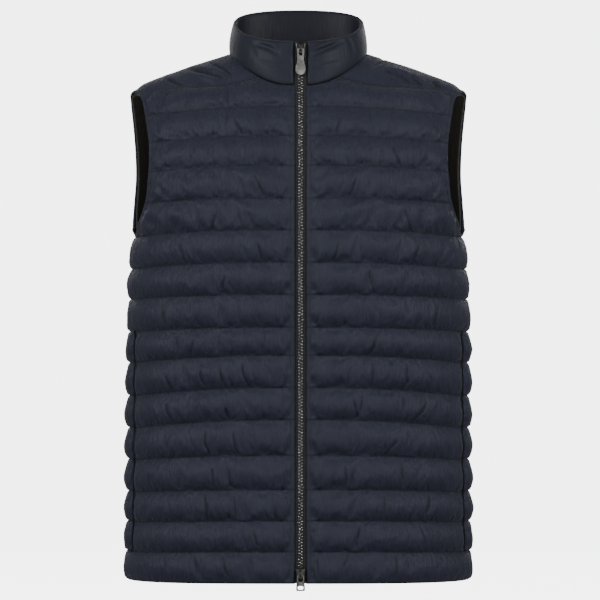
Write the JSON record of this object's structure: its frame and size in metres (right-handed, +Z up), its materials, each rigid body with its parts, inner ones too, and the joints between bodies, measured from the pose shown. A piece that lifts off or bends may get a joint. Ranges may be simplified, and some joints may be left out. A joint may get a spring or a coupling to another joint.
{
  "type": "quilted vest",
  "caption": "Sleeveless quilted vest with a stand collar, full front zip and slit side pockets, filled out and hollow, open at neck, armholes and hem.",
  "frame": {"origin": "middle of the neck base, level with the neck ends of the shoulders, where a wearer's neck and shoulders hold the vest up", "axes": "+Z up, +X to the wearer's left, the front faces -Y"},
  "size_m": [0.4479, 0.2535, 0.7421],
  "materials": {
    "navy_nylon": "satin matte, finely crinkled",
    "black_elastic": "matt, ribbed",
    "zip_tape": "matt, woven",
    "zip_metal": "dark polished teeth",
    "pull_metal": "satin gunmetal"
  },
  "bodies": {
    "vest": {"front_right": "navy_nylon", "front_left": "navy_nylon", "back": "navy_nylon", "collar": "navy_nylon", "pocket_welt_right": "navy_nylon", "pocket_welt_left": "navy_nylon", "armhole_binding_right": "black_elastic", "armhole_binding_left": "black_elastic", "zip_tape_right": "zip_tape", "zip_tape_left": "zip_tape", "zip_chain": "zip_metal", "top_slider": "zip_metal", "bottom_slider": "zip_metal"},
    "top_pull": {"top_pull": "pull_metal"},
    "bottom_pull": {"bottom_pull": "pull_metal"}
  },
  "joints": [
    {"name": "top_pull_swing", "type": "hinge", "parent": "vest", "child": "top_pull", "pos_m": [0.0027, -0.085, 0.0029], "axis": [-1, 0, 0], "range_deg": [0, 150]},
    {"name": "bottom_pull_swing", "type": "hinge", "parent": "vest", "child": "bottom_pull", "pos_m": [0.0027, -0.12419, -0.6569], "axis": [-1, 0, 0], "range_deg": [0, 125]}
  ]
}
